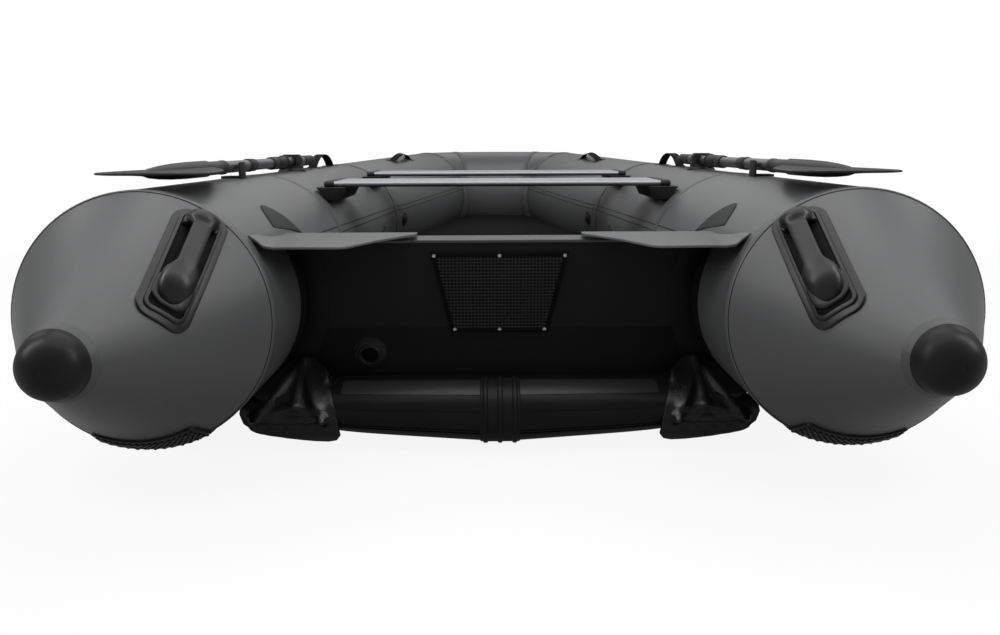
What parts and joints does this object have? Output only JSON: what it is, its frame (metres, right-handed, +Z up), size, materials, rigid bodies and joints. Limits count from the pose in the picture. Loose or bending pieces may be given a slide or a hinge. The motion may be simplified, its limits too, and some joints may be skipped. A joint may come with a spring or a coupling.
{
  "type": "inflatable boat",
  "caption": "Open inflatable boat with side tubes, stern cones, soft vee bottom on an air keel, board transom for an outboard, plank benches, and oars that swing out in rowlocks.",
  "frame": {"origin": "under the middle of the boat's length and width, on the floor that the keel band stands on", "axes": "+Y towards the bow, +X to starboard, +Z up"},
  "size_m": [1.74, 3.7009, 0.5949],
  "materials": {
    "tube_fabric": "matte coated fabric, dark grey",
    "black_rubber": "satin black rubber",
    "moulded_rubber": "satin moulded rubber, black",
    "transom_laminate": "board under a satin black skin",
    "light_trim": "satin light grey edging",
    "bottom_fabric": "satin black coated fabric",
    "black_plastic": "matte black plastic",
    "deck_fabric": "grey coated fabric with a fine tread",
    "bench_aluminium": "satin anodised aluminium",
    "shaft_aluminium": "satin anodised aluminium tube",
    "blade_plastic": "moulded black plastic",
    "webbing": "black woven webbing",
    "ring_steel": "polished stainless steel"
  },
  "bodies": {
    "boat": {"side_tube_port": "tube_fabric", "side_tube_starboard": "tube_fabric", "bow_quarter_port": "tube_fabric", "bow_quarter_starboard": "tube_fabric", "bow_middle": "tube_fabric", "stern_cone_port": "tube_fabric", "stern_cone_starboard": "tube_fabric", "cone_cap_port": "black_rubber", "cone_cap_starboard": "black_rubber", "rub_strake_port": "black_rubber", "rub_strake_starboard": "black_rubber", "rub_strake_bow": "black_rubber", "wear_pad_port": "black_rubber", "wear_pad_starboard": "black_rubber", "transom_board": "transom_laminate", "transom_trim": "light_trim", "transom_flanges": "bottom_fabric", "transom_gusset_port": "tube_fabric", "transom_gusset_starboard": "tube_fabric", "motor_plate": "black_plastic", "inner_plate": "black_plastic", "drain_valve": "black_plastic", "hull_bottom": "bottom_fabric", "keel_band": "black_rubber", "air_deck": "deck_fabric", "bench_aft": "bench_aluminium", "bench_fore": "bench_aluminium", "bench_caps_aft": "black_plastic", "bench_caps_fore": "black_plastic", "bench_pads_aft": "moulded_rubber", "bench_pads_fore": "moulded_rubber", "carry_handle_port": "moulded_rubber", "carry_handle_starboard": "moulded_rubber", "rowlock_base_port": "black_plastic", "rowlock_base_starboard": "black_plastic", "oar_clips": "black_plastic", "grab_straps": "webbing", "bow_straps": "webbing", "inflation_valves": "black_plastic", "tow_rings": "ring_steel", "bow_handle": "webbing"},
    "oar_port": {"oar_shaft_port": "shaft_aluminium", "oar_blade_port": "blade_plastic", "oar_collar_port": "black_plastic", "oar_grip_port": "moulded_rubber", "rowlock_bail_port": "black_plastic"},
    "oar_starboard": {"oar_shaft_starboard": "shaft_aluminium", "oar_blade_starboard": "blade_plastic", "oar_collar_starboard": "black_plastic", "oar_grip_starboard": "moulded_rubber", "rowlock_bail_starboard": "black_plastic"}
  },
  "joints": [
    {"name": "oar_swing_port", "type": "hinge", "parent": "boat", "child": "oar_port", "pos_m": [-0.63, -0.462, 0.548], "axis": [0, 0, -1], "range_deg": [0, 140]},
    {"name": "oar_swing_starboard", "type": "hinge", "parent": "boat", "child": "oar_starboard", "pos_m": [0.63, -0.462, 0.548], "axis": [0, 0, 1], "range_deg": [0, 140]}
  ]
}
